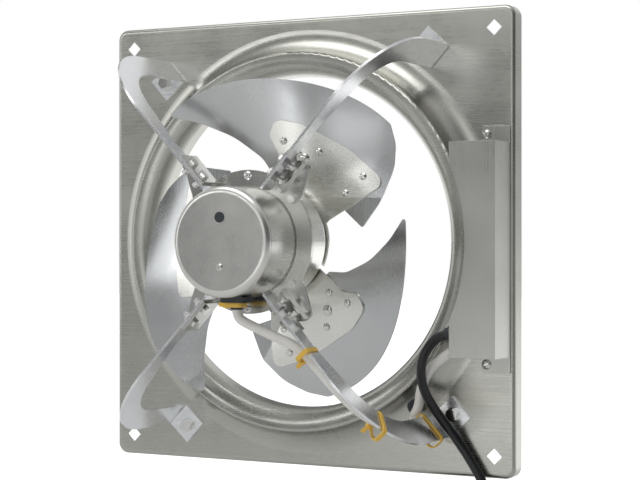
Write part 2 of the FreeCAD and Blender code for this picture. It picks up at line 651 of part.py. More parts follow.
def impeller():
    for i, angle in enumerate((0, 120, 240), start=1):
        blade("blade_%d" % i, angle)
    spider()
    plane, shaft = size("spider_plane"), size("shaft_radius") + 0.02
    hub_front = plane - size("blade_sheet") - 0.1
    hub = ring(size("hub_flange"), shaft, hub_front, 3).fuse(ring(size("hub_radius"), shaft, hub_front, 10))
    solid_node("impeller_hub", [hub])
    collar = plane + size("spider_sheet") + 0.1
    solid_node("shaft_collar", [ring(9, shaft, collar + 2, 2)])
    nut_front = hub_front - 10
    solid_node("shaft_washer", [ring(9, shaft, nut_front - 0.05, 1.5)])
    nut = prism(13, 6, V(0, 1.6 - nut_front, 0), BACK)
    solid_node("shaft_nut", [nut.cut(cylinder(4.05, 20, V(0, -nut_front - 5, 0), BACK))])
    rivets = []
    step = 0.5
    for turned_by in (0, 120, 240):
        for radius, angle, head in BLADE_RIVETS:
            x, z = polar(radius, angle)
            slope_x = (blade_surface(x + step, z) - blade_surface(x - step, z)) / (2 * step)
            slope_z = (blade_surface(x, z + step) - blade_surface(x, z - step)) / (2 * step)
            normal = V(slope_x, -1, slope_z).normalize()
            seat = V(x, blade_surface(x, z), z)
            front, rear = size("spider_sheet"), size("blade_sheet")
            rivet = dome(head, head * 0.45, seat + normal * front, normal)
            rivet = rivet.fuse(dome(head, head * 0.45, seat - normal * rear, -normal))
            rivet = rivet.fuse(cylinder(head * 0.5, front + rear + 1, seat - normal * (rear + 0.5), normal))
            rivets.append(spun(rivet, turned_by))
    solid_node("blade_rivets", rivets)
    pins = []
    for i in range(6):
        x, z = polar(18, 60 * i)
        pin = dome(3, 1.4, V(x, 0.0 - plane - size("spider_sheet") - 0.05, z), FRONT)
        pins.append(pin.fuse(dome(3, 1.4, V(x, 3 - hub_front, z), BACK)).fuse(
            cylinder(1.6, 8, V(x, -plane - 3, z), BACK)))
    solid_node("hub_rivets", pins)


def dome(radius, height, base, direction):
    """A shallow rivet head on base."""
    ball = (radius * radius + height * height) / (2 * height)
    return Part.makeSphere(ball, base - direction * (ball - height)).common(
        cylinder(radius + 0.1, height + 0.1, base - direction * 0.05, direction))


# ---------------------------------------------------------------- terminal box
def bound_box(name, x0, y0, z0, x1, y1, z1):
    """A Part::Box between two corners given as expressions."""
    box = doc.addObject("Part::Box", name)
    for prop, low, high in (("Length", x0, x1), ("Width", y0, y1), ("Height", z0, z1)):
        box.setExpression(prop, "(%s) - (%s)" % (high, low))
    for axis, low in (("x", x0), ("y", y0), ("z", z0)):
        box.setExpression("Placement.Base." + axis, low)
    return box


def bound_cylinder(name, radius, length, rotation, base):
    tube = doc.addObject("Part::Cylinder", name)
    tube.setExpression("Radius", radius)
    tube.Height = length
    tube.Placement = FreeCAD.Placement(base, rotation)
    return tube


def combined(kind, name, first, second):
    result = doc.addObject(kind, name)
    result.Base, result.Tool = first, second
    doc.recompute()
    return result


def box_clearance():
    """What the cover leaves free: the curve of the skirt, and slots for the shelf's feet."""
    outer, fillet = size("crest_radius") + size("skirt_fillet"), size("skirt_fillet")
    curve = ring(outer, size("throat_radius"), size("crest_front") + 3, 32).cut(
        Part.makeTorus(outer, fillet - 0.3, V(0, -PLATE - fillet, 0), AXIS_Y))
    slots = [Part.makeBox(size("shelf_width") + 0.6, 1.5, 2, V(size("shelf_left") - 0.3, -PLATE - 1.3, z))
             for z in (size("box_top") - 1.5, size("box_bottom") - 0.5)]
    return [curve, *slots]


def terminal_box():
    """A folded cover notched round the skirt, an inner shelf, and what stands on it."""
    along_y = FreeCAD.Rotation(V(1, 0, 0), -90)
    along_x = FreeCAD.Rotation(V(0, 1, 0), 90)
    far = V(0, -80, 0)
    s = "sizes."
    front = "-sizes.plate_depth - sizes.box_depth"
    rear = "-sizes.plate_depth"
    outer = bound_box("box_outer", s + "box_left", front, s + "box_bottom", s + "box_right", rear, s + "box_top")
    sheet_s = " sizes.box_sheet"
    inner = bound_box("box_inner", s + "box_left +" + sheet_s, front + " +" + sheet_s,
                      s + "box_bottom +" + sheet_s, s + "box_right -" + sheet_s, rear + " + 1",
                      s + "box_top -" + sheet_s)
    outer_notch = bound_cylinder("notch_outer", s + "box_notch", 80, along_y, far)
    inner_notch = bound_cylinder("notch_inner", s + "box_notch +" + sheet_s, 80, along_y, far)
    outer = combined("Part::Cut", "box_outer_notched", outer, outer_notch)
    inner = combined("Part::Cut", "box_inner_notched", inner, inner_notch)
    shell = combined("Part::Cut", "box_shell", outer, inner)
    cord_hole = bound_cylinder("cord_hole", "4.6", 12, along_x, V(152, *CORD_EXIT))
    lead_hole = bound_cylinder("lead_hole", "5.9", 12, along_x, V(152, *SLEEVE_END))
    shell = combined("Part::Cut", "box_cord_hole", shell, cord_hole)
    shell = combined("Part::Cut", "box_lead_hole", shell, lead_hole)
    right = s + "box_right"
    top, bottom, reach = s + "box_top", s + "box_bottom", " sizes.box_tab"
    for name, low, high, z in (("tab_top", top + " - 1", top + " +" + reach, "box_screw_top"),
                               ("tab_bottom", bottom + " -" + reach, bottom + " + 1", "box_screw_low")):
        tab = bound_box(name, right + " - sizes.box_tab_width", "-sizes.plate_depth - 2.2", low,
                        right, "-sizes.plate_depth - 1.2", high)
        shell = combined("Part::Fuse", name + "_joined", shell, tab)
        hole = bound_cylinder(name + "_hole", s + "box_screw_hole", 30, along_y,
                              V(size("box_screw_x"), -40, size(z)))
        shell = combined("Part::Cut", name + "_drilled", shell, hole)
    shell = combined("Part::Cut", "terminal_box_cover", shell, solid_node("box_clearance", box_clearance()))
    shell.Label = "terminal_box_cover"
    solid_node("terminal_box_base", [shelf()])
    screws = []
    for z in (size("box_screw_top"), size("box_screw_low")):
        seat = V(size("box_screw_x"), -PLATE - 2.25, z)
        screws.append(pan_head(4.4, 2.8, seat, FRONT).fuse(cylinder(2, 9, seat, BACK)))
    solid_node("terminal_box_screws", screws)


def shelf():
    """A long plate on two legs whose feet reach out under the cover's tabs."""
    left, wide, front, thick = size("shelf_left"), size("shelf_width"), size("shelf_front"), size("shelf_sheet")
    bottom, length = size("shelf_bottom"), size("shelf_length")
    foot = PLATE + 1.1
    plate = Part.makeBox(wide, thick, length, V(left, -front, bottom))
    feet = [Part.makeBox(wide, 1, 20, V(left, -foot, z)) for z in (bottom + length - 3.5, bottom - 16.5)]
    legs = [Part.makeBox(wide, front - foot + 1, thick, V(left, -front, z))
            for z in (bottom + length - thick, bottom)]
    plate = plate.fuse(feet + legs)
    for z in (size("box_screw_top"), size("box_screw_low")):
        hole = cylinder(size("box_screw_hole"), 20, V(size("box_screw_x"), -front - 3, z), BACK)
        plate = plate.cut(hole)
    return plate


# the run capacitor and the terminal block: width, depth and height, and the corner nearest the origin
CAPACITOR, CAPACITOR_AT = (17, 20, 42), V(176, -47.1, -20)
BLOCK, BLOCK_AT = (16, 14, 36), V(176, -41.1, -80)
TERMINALS, TERMINAL_PITCH, FIRST_TERMINAL = 3, 12, V(184, -42, -74)


def box_contents():
    """What stands on the shelf: a capacitor under its strap, and a terminal block with its screws."""
    can = Part.makeBox(*CAPACITOR, CAPACITOR_AT)
    solid_node("capacitor", [can.makeFillet(2, can.Edges)])
    wide, deep = CAPACITOR[0] + 0.4, CAPACITOR[1] + 0.9
    strap = Part.makeBox(wide + 2, deep + 0.3, 8, CAPACITOR_AT + V(-1.2, -1.2, 17))
    strap = strap.cut(Part.makeBox(wide, deep, 10, CAPACITOR_AT + V(-0.2, -0.1, 16)))
    solid_node("capacitor_strap", [strap])
    block = Part.makeBox(*BLOCK, BLOCK_AT)
    screws = []
    for i in range(TERMINALS):
        well = FIRST_TERMINAL + V(0, 0, TERMINAL_PITCH * i)
        block = block.cut(cylinder(3.2, 6, well, BACK))
        block = block.cut(Part.makeBox(7, 5, 7, well + V(-13, 6, -3.5)))
        screw = pan_head(2.8, 2, well + V(0, 4.8, 0), FRONT)
        screws.append(screw.fuse(cylinder(1.3, 1.0, well + V(0, 4.6, 0), BACK)))
    solid_node("terminal_block", [block])
    solid_node("terminal_screws", screws)


# ---------------------------------------------------------------- cord and lead
def path_wire(points, label):
    """Straight runs joined by tangent arcs as large as the shorter run allows."""
    edges, here, tightest = [], points[0], 1e9
    for i in range(1, len(points) - 1):
        back, ahead = points[i - 1] - points[i], points[i + 1] - points[i]
        shorter = min(back.Length, ahead.Length)
        half = back.getAngle(ahead) / 2
        reach = 0.45 * shorter
        radius = reach * math.tan(half)
        tightest = min(tightest, radius)
        start = points[i] + V(back).normalize() * reach
        end = points[i] + V(ahead).normalize() * reach
        bisector = (V(back).normalize() + V(ahead).normalize()).normalize()
        middle = points[i] + bisector * (radius / math.sin(half) - radius)
        edges.append(Part.LineSegment(here, start).toShape())
        edges.append(Part.Arc(start, middle, end).toShape())
        here = end
    edges.append(Part.LineSegment(here, points[-1]).toShape())
    wire = Part.Wire(edges)
    print("%s: length %.1f, tightest arc %.1f" % (label, wire.Length, tightest))
    return wire


def tube(label, points, diameter):
    wire = path_wire(points, label)
    section = Part.Wire([Part.Circle(points[0], points[1] - points[0], diameter / 2).toShape()])
    swept = wire.makePipeShell([section], True, True)
    ideal = math.pi * diameter ** 2 / 4 * wire.Length
    if abs(swept.Volume / ideal - 1) > 0.02:
        raise RuntimeError("%s: tube volume %.0f, section times length %.0f" % (label, swept.Volume, ideal))
    solid_node(label, [swept])
    return wire.Length


# Y and Z where the cord and the lead go through the box's left wall
CORD_EXIT = (-47.6, -78)
SLEEVE_END = (-47.2, -92.4)
COIL_CENTRE = V(150, -24, -272)
COIL_RADIUS, COIL_BUNDLE = 44, 12.4

CORD_ROUTE = [
    (158, -47.6, -78), (147, -49, -79.5), (139.5, -54, -88.5), (134.8, -58.5, -101.5), (132.8, -55.5, -116),
    (133.5, -46, -131), (138.5, -36, -145.5), (147.2, -28, -160.5), (157.2, -23.2, -176), (168, -22.2, -192),
    (178, -22.5, -209), (186.5, -23.3, -227.5), (192, -24, -247), (194, -24, -266)]
CORD_TAIL = [(194, -24, -278), (194, -24, -294), (192, -23.5, -311), (189, -23, -327)]


def lead_route():
    """The lead sleeve: from the motor boot to the lower right stay, along it, and into the box."""
    place = STAYS["stay_lower_right"]["place"]
    route = [V(0, -137, -57.1), V(2.5, -137, -64.5), V(11, -137, -70.5), V(25, -137.3, -76), V(41, -138, -81.5)]
    for r, y, t in ((104, -139.5, -9), (126, -141, -5.1), (150, -139.5, -4.9), (175, -130.5, -4.9),
                    (194, -113, -4.9), (204, -91, -4.9), (206, -67, -4.9), (201, -45, -6.5), (190, -30, -10)):
        route.append(place.multVec(V(r, y, t)))
    route += [V(116, -33, -141.5), V(122.5, -40, -128.5), V(132, -44.5, -115), V(142.5, -46.5, -102.5),
              V(158.5, *SLEEVE_END)]
    return route


# the ties round the lower right stay: local X and Y, the turn from the stay's run, and the depth held
STAY_TIES = ((112, -139, 0, 19.4), (192, -118, 48, 25.5), (208.6, -40, 90, 28.4))


def band(place, wide, deep, width, thick, head):
    """A closed strap round local Z, wide along X and deep along Y, with its locking head."""
    faces = []
    for x, y, radius in ((wide / 2 + thick, deep / 2 + thick, 4), (wide / 2, deep / 2, 1)):
        corners = [(i * x, j * y, radius) for i, j in ((-1, -1), (1, -1), (1, 1), (-1, 1))]
        faces.append(Part.Face(Part.Wire([e.toShape() for e in rounded(corners)])))
    strap = faces[0].extrude(V(0, 0, width)).cut(faces[1].extrude(V(0, 0, width)))
    x, y = head
    strap = strap.fuse(Part.makeBox(5, 4, width + 1.6, V(x - 2.5, y - 2, -0.8)))
    strap.Placement = place
    return strap


# the plug: strain relief, flare and grip
PLUG_RELIEF, PLUG_FLARE, PLUG_GRIP, PLUG_RADIUS = 18, 8, 16, 14
PIN_LENGTH = 19


def cord_gland():
    """A collar on the cord in the box's left wall, with a lip inside."""
    outside = V(152, *CORD_EXIT)
    collar = Part.makeCone(4.95, 5.0, 6, outside, V(1, 0, 0))
    lip = cylinder(4.5, 2.5, outside + V(5.9, 0, 0), V(1, 0, 0))
    bore = cylinder(size("cord_diameter") / 2 + 0.05, 20, outside - V(2, 0, 0), V(1, 0, 0))
    solid_node("cord_gland", [collar.fuse(lip).cut(bore)])


def cord_parts():
    """The cord down to the coil, the put-away turns as one ring with two ties, and the plug."""
    diameter = size("cord_diameter")
    lead = tube("power_cord", [V(*p) for p in CORD_ROUTE], diameter)
    tail = tube("power_cord_end", [V(*p) for p in CORD_TAIL], diameter)
    coil = Part.makeTorus(COIL_RADIUS, COIL_BUNDLE, COIL_CENTRE, AXIS_Y)
    solid_node("power_cord_coil", [coil])
    print("cord: %.0f in the open, %.0f in four turns" % (lead + tail, 4 * 2 * math.pi * COIL_RADIUS))
    ties = []
    for angle in (0, 180):
        x, z = polar(COIL_RADIUS, angle)
        ties.append(Part.makeCylinder(COIL_BUNDLE + 1.3, 5, COIL_CENTRE + V(x, 0, z - 2.5), V(0, 0, 1)).cut(
            Part.makeCylinder(COIL_BUNDLE + 0.1, 9, COIL_CENTRE + V(x, 0, z - 4), V(0, 0, 1))))
    solid_node("coil_ties", ties)
    end, before = V(*CORD_TAIL[-1]), V(*CORD_TAIL[-2])
    down = (end - before).normalize()
    relief = Part.makeCone(4.6, 7.5, PLUG_RELIEF, end, down)
    flare = Part.makeCone(7.5, PLUG_RADIUS, PLUG_FLARE, end + down * PLUG_RELIEF, down)
    grip = flare.fuse(cylinder(PLUG_RADIUS, PLUG_GRIP, end + down * (PLUG_RELIEF + PLUG_FLARE), down))
    rim = [e for e in grip.Edges
           if e.Curve.TypeId == "Part::GeomCircle" and abs(e.Curve.Radius - PLUG_RADIUS) < 0.01]
    solid_node("plug_body", [relief.fuse(grip.makeFillet(2.2, rim[-1:]))])
    pins = []
    across = down.cross(AXIS_Y).normalize()
    for offset, radius in ((across * 5.5, 2), (across * -5.5, 2), (AXIS_Y * 6, 2.4)):
        root = end + down * (PLUG_RELIEF + PLUG_FLARE + PLUG_GRIP + 0.1) + offset
        pins.append(cylinder(radius, PIN_LENGTH, root, down))
    solid_node("plug_pins", pins)


def lead_parts():
    tube("lead_sleeve", lead_route(), size("sleeve_diameter"))
    place = STAYS["stay_lower_right"]["place"]
    turn_in = FreeCAD.Placement(V(0, 0, 0), FreeCAD.Rotation(V(0, 1, 0), 90))
    middle = -(9.5 - size("stay_sheet")) / 2 - 0.2
    ties = []
    for r, y, tilt, deep in STAY_TIES:
        local = FreeCAD.Placement(V(r, y, middle), FreeCAD.Rotation(V(0, 0, 1), tilt))
        ties.append(band(place.multiply(local).multiply(turn_in), 13.4, deep, 3.6, 1.1, (7, 5)))
    boot = FreeCAD.Placement(V(0, -137, -54.5), FreeCAD.Rotation())
    ties.append(band(boot, 12.6, 12.6, 3, 1.2, (-7, 3)))
    solid_node("cable_ties", ties)
    x, z = size("lead_hole_x"), size("lead_hole_z")
    hole = size("lead_hole")
    grommet = cylinder(hole - 0.05, 9, V(x, -22, z), BACK).fuse(
        Part.makeTorus(hole + 0.6, 2.2, V(x, -20.5, z), AXIS_Y)).cut(cylinder(2.2, 20, V(x, -30, z), BACK))
    solid_node("plate_grommet", [grommet])


# ---------------------------------------------------------------- build, check and write
def build():
    mounting_plate()
    for name in STAYS:
        stay(name)
    foot_bolts, foot_nuts, bolts, nuts = stay_screws()
    solid_node("stay_foot_bolts", foot_bolts)
    solid_node("stay_foot_nuts", foot_nuts)
    solid_node("stay_bolts", bolts)
    solid_node("stay_nuts", nuts)
    motor_bracket()
    bolts, nuts, screws = flange_screws()
    solid_node("flange_bolts", bolts)
    solid_node("flange_nuts", nuts)
    solid_node("flange_screws", screws)
    motor_front_cover()
    motor_rear_cover()
    stator_core()
    motor_inside()
    motor_trim()
    impeller()
    terminal_box()
    box_contents()
    lead_parts()
    cord_gland()
    cord_parts()


HELPERS = ("bracket_drill", "bracket_blank", "box_clearance")


def sub_parts():
    """The finished pieces: bodies, shapes and booleans that nothing else takes in."""
    chosen = []
    for item in doc.Objects:
        if item.TypeId == "PartDesign::Body" or item.TypeId.startswith("Part::"):
            if not item.InList and item.Label not in HELPERS:
                chosen.append(item)
    return chosen


def write():
    doc.recompute()
    for item in doc.Objects:
        if "Invalid" in item.State or "Error" in item.State:
            raise RuntimeError("failed object: %s %s" % (item.Label, item.State))
    os.makedirs("parts", exist_ok=True)
    for item in sub_parts():
        shape = item.Shape
        if shape.isNull() or not shape.isValid() or not shape.Solids:
            raise RuntimeError("bad shape: " + item.Label)
        shape.exportStep("parts/%s.step" % item.Label)
        print("%-24s solids %2d volume %10.1f" % (item.Label, len(shape.Solids), shape.Volume))


build()
write()
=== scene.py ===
import json
import math

import bmesh
import bpy
from mathutils import Matrix, Vector


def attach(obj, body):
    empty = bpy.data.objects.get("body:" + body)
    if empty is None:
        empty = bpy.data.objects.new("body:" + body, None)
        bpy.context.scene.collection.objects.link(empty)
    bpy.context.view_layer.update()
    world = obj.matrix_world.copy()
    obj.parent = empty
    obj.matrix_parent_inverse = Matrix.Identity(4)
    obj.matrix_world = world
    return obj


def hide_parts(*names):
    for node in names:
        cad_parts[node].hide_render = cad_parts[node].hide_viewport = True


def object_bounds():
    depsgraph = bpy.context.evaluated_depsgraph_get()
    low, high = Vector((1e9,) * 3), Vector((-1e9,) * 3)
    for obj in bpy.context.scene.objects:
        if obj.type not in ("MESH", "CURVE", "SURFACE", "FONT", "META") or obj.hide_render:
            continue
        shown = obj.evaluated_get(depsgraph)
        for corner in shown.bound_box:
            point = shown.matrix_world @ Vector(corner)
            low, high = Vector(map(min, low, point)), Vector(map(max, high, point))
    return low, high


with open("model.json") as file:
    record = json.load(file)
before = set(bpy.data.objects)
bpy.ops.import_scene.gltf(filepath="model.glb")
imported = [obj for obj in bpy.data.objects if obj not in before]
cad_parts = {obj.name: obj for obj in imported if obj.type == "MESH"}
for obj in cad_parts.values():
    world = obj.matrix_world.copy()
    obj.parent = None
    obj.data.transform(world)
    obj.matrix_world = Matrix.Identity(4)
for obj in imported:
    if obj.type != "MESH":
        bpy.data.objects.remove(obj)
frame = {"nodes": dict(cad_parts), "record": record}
cad_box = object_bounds()

MM = 0.001


# ---------------------------------------------------------------- camera, floor and light
CAMERA_PLACE = Vector((0.7081, -1.3549, 0.0016))
CAMERA_LOOK = Vector((-0.4591, 0.8884, 0))
CAMERA_LENS, SENSOR = 93.93, 36


def add(name, data):
    piece = bpy.data.objects.new(name, data)
    bpy.context.scene.collection.objects.link(piece)
    return piece


def make_camera():
    data = bpy.data.cameras.new("camera")
    data.lens, data.sensor_width = CAMERA_LENS, SENSOR
    camera = add("camera", data)
    camera.location = CAMERA_PLACE
    camera.rotation_euler = CAMERA_LOOK.to_track_quat("-Z", "Y").to_euler()
    bpy.context.scene.camera = camera


def softbox(name, place, target, width, height, power, tint=(1, 1, 1)):
    data = bpy.data.lights.new(name, "AREA")
    data.shape, data.size, data.size_y = "RECTANGLE", width, height
    data.energy, data.color = power, tint
    lamp = add(name, data)
    lamp.location = place
    lamp.rotation_euler = (Vector(target) - Vector(place)).to_track_quat("-Z", "Y").to_euler()


def make_lights():
    centre = (0, -0.05, 0)
    softbox("left_panel", (-1.9, -1.3, 0.5), centre, 0.8, 1.5, 4.5)
    softbox("front_panel", (0.25, -2.4, 0.75), centre, 1.0, 1.2, 1.5)
    softbox("high_panel", (-1.15, -2.1, 1.0), centre, 1.8, 0.5, 5)
    softbox("overhead", (-0.2, -0.5, 1.9), centre, 1.8, 1.0, 12)
    softbox("low_strip", (0.0, -1.6, -0.3), centre, 1.2, 0.12, 0.8)


def math_node(tree, operation, first, second):
    node = tree.nodes.new("ShaderNodeMath")
    node.operation = operation
    for socket, value in zip(node.inputs, (first, second)):
        if isinstance(value, (int, float)):
            socket.default_value = value
        else:
            tree.links.new(value, socket)
    return node.outputs[0]


def map_range(tree, source, start, end, low, high):
    node = tree.nodes.new("ShaderNodeMapRange")
    for key, value in (("From Min", start), ("From Max", end), ("To Min", low), ("To Max", high)):
        node.inputs[key].default_value = value
    tree.links.new(source, node.inputs["Value"])
    return node.outputs["Result"]


# brightness of the studio round the object, by bearing in degrees from straight in front, right positive
STUDIO = (
    (-180, 0.95), (-173, 0.85), (-162, 0.2), (-122, 0.2), (-112, 0.9), (-99, 0.9), (-88, 0.12),
    (-52, 0.17), (-8, 0.22), (6, 0.55), (22, 0.55), (36, 0.08), (100, 0.08), (120, 0.6),
    (160, 0.36), (172, 0.95), (180, 0.95))
# brightness straight up and down, and the steepness between which the bearings fade into it
STUDIO_TOP = 0.5
TOP_STARTS, TOP_FULL = 0.5, 0.8


def make_world():
    """Plain white for the camera; reflections see the brightness that STUDIO gives for their bearing."""
    world = bpy.data.worlds.new("studio")
    bpy.context.scene.world = world
    world.use_nodes = True
    tree = world.node_tree
    nodes, links = tree.nodes, tree.links
    nodes.clear()
    split = nodes.new("ShaderNodeSeparateXYZ")
    links.new(nodes.new("ShaderNodeTexCoord").outputs["Generated"], split.inputs[0])
    x, y, z = split.outputs
    bearing = math_node(tree, "ARCTAN2", x, math_node(tree, "MULTIPLY", y, -1.0))
    share = math_node(tree, "ADD", math_node(tree, "DIVIDE", bearing, 2 * math.pi), 0.5)
    ramp = nodes.new("ShaderNodeValToRGB")
    links.new(share, ramp.inputs["Fac"])
    stops = ramp.color_ramp.elements
    for index, (angle, level) in enumerate(STUDIO):
        stop = stops[0] if index == 0 else stops.new(angle / 360 + 0.5)
        stop.position, stop.color = angle / 360 + 0.5, (level, level, level, 1)
    stops.remove(stops[len(stops) - 1])
    steep = map_range(tree, math_node(tree, "ABSOLUTE", z, 0), TOP_STARTS, TOP_FULL, 0, 1)
    mixed = nodes.new("ShaderNodeMix")
    mixed.inputs["B"].default_value = STUDIO_TOP
    links.new(steep, mixed.inputs["Factor"])
    links.new(ramp.outputs["Color"], mixed.inputs["A"])
    seen, unseen = nodes.new("ShaderNodeBackground"), nodes.new("ShaderNodeBackground")
    links.new(mixed.outputs["Result"], unseen.inputs["Color"])
    seen.inputs["Color"].default_value = (1, 1, 1, 1)
    choose = nodes.new("ShaderNodeMixShader")
    links.new(nodes.new("ShaderNodeLightPath").outputs["Is Camera Ray"], choose.inputs["Fac"])
    links.new(unseen.outputs[0], choose.inputs[1])
    links.new(seen.outputs[0], choose.inputs[2])
    links.new(choose.outputs[0], nodes.new("ShaderNodeOutputWorld").inputs["Surface"])
    bpy.context.scene.view_settings.view_transform = "Standard"


FLOOR_HALF = 9
FLOOR_GAP = 4 * MM
# the floor's own glow, and how far behind the object it starts and is full
GLOW_STARTS, GLOW_FULL, GLOW = 0.2, 1.0, 0.9


def make_floor():
    """A pale floor, brighter well behind the object than under it."""
    height = cad_box[0].z - FLOOR_GAP
    mesh = bpy.data.meshes.new("floor")
    corners = [(x * FLOOR_HALF, y * FLOOR_HALF, height) for x, y in ((-1, -1), (1, -1), (1, 1), (-1, 1))]
    mesh.from_pydata(corners, [], [(0, 1, 2, 3)])
    floor = add("floor", mesh)
    paint = bpy.data.materials.new("floor")
    paint.use_nodes = True
    tree = paint.node_tree
    shader = tree.nodes["Principled BSDF"]
    shader.inputs["Base Color"].default_value = (0.8, 0.8, 0.8, 1)
    shader.inputs["Roughness"].default_value = 0.9
    shader.inputs["Emission Color"].default_value = (1, 1, 1, 1)
    split = tree.nodes.new("ShaderNodeSeparateXYZ")
    tree.links.new(tree.nodes.new("ShaderNodeTexCoord").outputs["Object"], split.inputs[0])
    glow = map_range(tree, split.outputs["Y"], GLOW_STARTS, GLOW_FULL, 0, GLOW)
    tree.links.new(glow, shader.inputs["Emission Strength"])
    mesh.materials.append(paint)


# ---------------------------------------------------------------- cord
CORD_DIAMETER = 8.2
CORD_EXIT = (158, -47.6, -78)
CORD_ROUTE = [
    CORD_EXIT, (147, -49, -79.5), (139.5, -54, -88.5), (134.8, -58.5, -101.5), (132.8, -55.5, -116),
    (133.5, -46, -131), (138.5, -36, -145.5), (147.2, -28, -160.5), (157.2, -23.2, -176), (168, -22.2, -192),
    (178, -22.5, -209), (186.5, -23.3, -227.5), (196, -22, -249)]
CORD_TAIL = [(198, -27.5, -287), (194, -25, -300), (191, -23.5, -313), (189, -23, -327)]
COIL_CENTRE, COIL_RADIUS = (150, -24, -272), 44
COIL_TURNS, TURN_POINTS = 4, 16
STRAND_OFFSET, STRAND_START, STRAND_STEP = 7.2, 36, 72


def coil_points():
    """Turns going clockwise seen from the front; each turn steps round the bundle, so no two touch."""
    points = []
    for i in range(COIL_TURNS * TURN_POINTS + 1):
        turns = i / TURN_POINTS
        round_ring = math.radians(-360 * turns)
        in_bundle = math.radians(STRAND_START + STRAND_STEP * turns)
        radius = COIL_RADIUS + STRAND_OFFSET * math.cos(in_bundle)
        points.append((COIL_CENTRE[0] + radius * math.cos(round_ring),
                       COIL_CENTRE[1] + STRAND_OFFSET * math.sin(in_bundle),
                       COIL_CENTRE[2] + radius * math.sin(round_ring)))
    return points


def smooth_line(name, points, diameter, material):
    """A round cord along one NURBS spline whose control points are the given ones, in millimetres."""
    curve = bpy.data.curves.new(name, "CURVE")
    curve.dimensions = "3D"
    spline = curve.splines.new("NURBS")
    spline.points.add(len(points) - 1)
    for point, place in zip(spline.points, points):
        point.co = (*(c * MM for c in place), 1)
    spline.order_u = 3
    spline.use_endpoint_u = True
    spline.resolution_u = 8
    curve.bevel_depth = diameter / 2 * MM
    curve.bevel_resolution = 6
    curve.use_fill_caps = True
    curve.materials.append(material)
    return add(name, curve)


def make_cord(paints):
    route = CORD_ROUTE + coil_points() + CORD_TAIL
    line = smooth_line("mains_cord", route, CORD_DIAMETER, paints["cord_black"])
    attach(line, "frame")
    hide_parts("power_cord", "power_cord_end", "power_cord_coil")


# ---------------------------------------------------------------- lead sleeve and cable ties
SLEEVE_DIAMETER = 8.4
STAY_ANGLE, STAY_OFFSET = math.radians(312.55), 9.7
# the ties round the lower right stay: outwards and along Y, the turn from the stay's run, and the depth held
STAY_TIES = ((112, -139, 0, 19.4), (192, -118, 48, 25.5), (208.6, -40, 90, 28.4))
TIE_MIDDLE, TIE_WIDTH, TIE_THICK = -3.8, 4.2, 1.15
# the loop across the stay and round the boot, and its corner radii on the far and the near side
STAY_LOOP, BOOT_LOOP = 13.2, 12.6
LOOP_FAR, LOOP_NEAR = 5.0, 2.6
BOOT_TIE = (0, -137, -53)
# the locking head's place on the loop, then size and bevel of the head and of the trimmed tail
HEAD_ACROSS, HEAD_BELOW_END, BOOT_HEAD_DEEP = -7.6, 4.5, -3
HEAD, HEAD_BEVEL = (4.6, 5.4, TIE_WIDTH + 1.6), 0.9
TAIL, TAIL_BEVEL = (9.0, 1.1, TIE_WIDTH - 0.4), 0.4
TAIL_FROM_HEAD = (-4.5, 1.2)

# the sleeve's points: from the motor's boot, then in the stay's own axes, then up into the box
SLEEVE_START = [
    (0, -137, -57.1), (0.5, -137, -63.5), (9, -137, -68.3), (22, -137.3, -73.2), (38, -138, -79.2),
    (54, -138, -85)]
SLEEVE_ON_STAY = [
    (112, -136.5, -5.1), (130, -135, -4.9), (150, -134, -4.9), (172, -127, -4.9), (189, -111, -4.9),
    (199, -90, -4.9), (201, -67, -4.9), (198, -45, -6.5), (190, -31, -9)]
SLEEVE_END = [
    (121, -32, -142), (125.5, -40, -129.5), (132.5, -45, -115), (143, -46.8, -102.5),
    (158.5, -47.2, -92.4)]


def along_stay(outwards, y, round_it):
    """A direction in the lower right stay's own axes."""
    return Vector((outwards * math.cos(STAY_ANGLE) - round_it * math.sin(STAY_ANGLE), y,
                   outwards * math.sin(STAY_ANGLE) + round_it * math.cos(STAY_ANGLE)))


def on_stay(outwards, y, round_it):
    """A place in the lower right stay's own axes, which pass beside the fan's axis."""
    foot = STAY_ANGLE - math.pi / 2
    return along_stay(outwards, y, round_it) + Vector((math.cos(foot), 0, math.sin(foot))) * STAY_OFFSET


def make_sleeve(paints):
    """The woven sleeve over the motor lead, tied along the lower right stay and into the box."""
    route = SLEEVE_START + [tuple(on_stay(*place)) for place in SLEEVE_ON_STAY] + SLEEVE_END
    line = smooth_line("lead_line", route, SLEEVE_DIAMETER, paints["sleeve_white"])
    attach(line, "frame")
    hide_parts("lead_sleeve")


def rounded_loop(wide, deep, round_far, round_near):
    """Points of a rounded rectangle with the outward direction at each, rounder on its negative side."""
    points = []
    for i, (x, y) in enumerate(((1, 1), (-1, 1), (-1, -1), (1, -1))):
        radius = round_near if x > 0 else round_far
        for step in range(7):
            angle = math.radians(90 * i + 15 * step)
            out = (math.cos(angle), math.sin(angle))
            across = x * (wide / 2 - radius) + radius * out[0]
            down = y * (deep / 2 - radius) + radius * out[1]
            points.append(((across, down), out))
    return points


